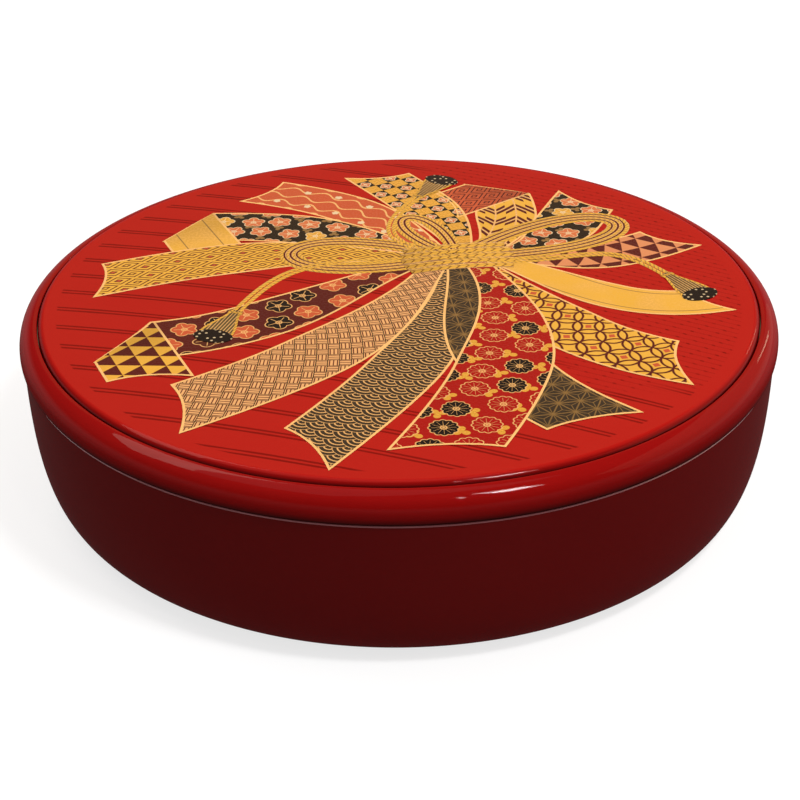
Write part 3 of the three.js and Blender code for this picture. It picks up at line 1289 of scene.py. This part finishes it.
def make_stage():
    """A white floor that keeps a pale shadow of the box."""
    paint = Paint("floor_white")
    view = seen(paint.tree)
    paint.set(
        base_color=paint.mix(view, FLOOR_WHITE, FLOOR_SEEN),
        emission_color=(1, 1, 1),
        emission_strength=view * FLOOR_GLOW,
        roughness=0.9,
        specular_ior_level=0.0,
    )
    bpy.ops.mesh.primitive_plane_add(size=FLOOR_SIZE)
    floor = bpy.context.object
    floor.name = "floor"
    floor.data.materials.append(paint.material)


def make_world():
    """Pale at the horizon and dimmer overhead."""
    world = bpy.data.worlds.new("studio")
    world.use_nodes = True
    bpy.context.scene.world = world
    tree = world.node_tree
    back = tree.nodes["Background"]
    place = tree.nodes.new("ShaderNodeTexCoord")
    parts = tree.nodes.new("ShaderNodeSeparateXYZ")
    ramp = tree.nodes.new("ShaderNodeMapRange")
    limits = (HORIZON_HEIGHT, SKY_HEIGHT, HORIZON_LIGHT, SKY_LIGHT)
    for name, value in zip(("From Min", "From Max", "To Min", "To Max"), limits):
        ramp.inputs[name].default_value = value
    tree.links.new(place.outputs["Generated"], parts.inputs[0])
    tree.links.new(parts.outputs["Z"], ramp.inputs["Value"])
    view = seen(tree)
    light = view * Number(tree, ramp.outputs[0]) + (1 - view) * WORLD_LIGHT
    tree.links.new(light.socket, back.inputs["Color"])


def make_lights():
    for name, place, size, watts, colour in LAMPS:
        data = bpy.data.lights.new(name, "AREA")
        data.shape = "RECTANGLE"
        data.size, data.size_y = size
        data.energy = watts
        data.color = colour
        lamp = bpy.data.objects.new(name, data)
        lamp.location = place
        lamp.rotation_euler = (Vector(BOX_MIDDLE) - Vector(place)).to_track_quat("-Z", "Y").to_euler()
        bpy.context.collection.objects.link(lamp)


# The camera was fitted to the outlines in the 800 by 800 photograph
IMAGE_SIZE = 800
FOCAL_PX = 1711
LID_CENTRE_PX = (398.4, 290.5)
CAMERA_ELEVATION = math.radians(26.14)
CAMERA_ROLL = math.radians(-0.69)
CAMERA_DISTANCE = 0.6075
SENSOR_WIDTH = 36


def make_camera():
    """Aims the camera at the lid's middle, then rolls it and turns that middle onto its pixel."""
    target = Vector((0, 0, high_of("lid_panel") * MM))
    back = Vector((0, -math.cos(CAMERA_ELEVATION), math.sin(CAMERA_ELEVATION)))
    right = Vector((1, 0, 0))
    up = back.cross(right)
    roll = Matrix.Rotation(CAMERA_ROLL, 3, "Z")
    basis = Matrix((right, up, back)).transposed() @ roll
    middle = IMAGE_SIZE / 2
    tilt = math.atan((LID_CENTRE_PX[1] - middle) / FOCAL_PX)
    pan = math.atan((LID_CENTRE_PX[0] - middle) / FOCAL_PX)
    basis = basis @ Matrix.Rotation(tilt, 3, "X") @ Matrix.Rotation(pan, 3, "Y")
    data = bpy.data.cameras.new("camera")
    data.sensor_width = SENSOR_WIDTH
    data.lens = FOCAL_PX / IMAGE_SIZE * SENSOR_WIDTH
    camera = bpy.data.objects.new("camera", data)
    camera.matrix_world = Matrix.Translation(target + back * CAMERA_DISTANCE) @ basis.to_4x4()
    bpy.context.collection.objects.link(camera)
    bpy.context.scene.camera = camera


maroon = lacquer("maroon", MAROON, MAROON_WORN, gloss=0.0, coat=0.03).material
black = lacquer("black", BLACK, BLACK_WORN, gloss=0.45, coat=0.4).material
# Pale lavender painted highlight for the corner of the wall's rim
seam_highlight = lacquer("seam_highlight", SEAM_HIGHLIGHT, VERMILION, gloss=0.3, coat=0.3).material
dish_red = lacquer("dish_red", VERMILION, VERMILION_WORN, gloss=0.2, coat=0.3).material

foot_ring([maroon])
base_board([black])
body_wall([maroon, black, seam_highlight])
lip_ring([black])
lid_rim([rim_material(), black])
ledge_ring([black])
lid_panel([panel_material(), black, panel_edge_material()])
centre_dish([black, dish_red])
for dish in range(1, FAN_COUNT + 1):
    fan_dish(dish, [black, dish_red])
ribbon_figure()
make_stage()
make_world()
make_lights()
make_camera()

bpy.context.scene.view_settings.view_transform = "Standard"
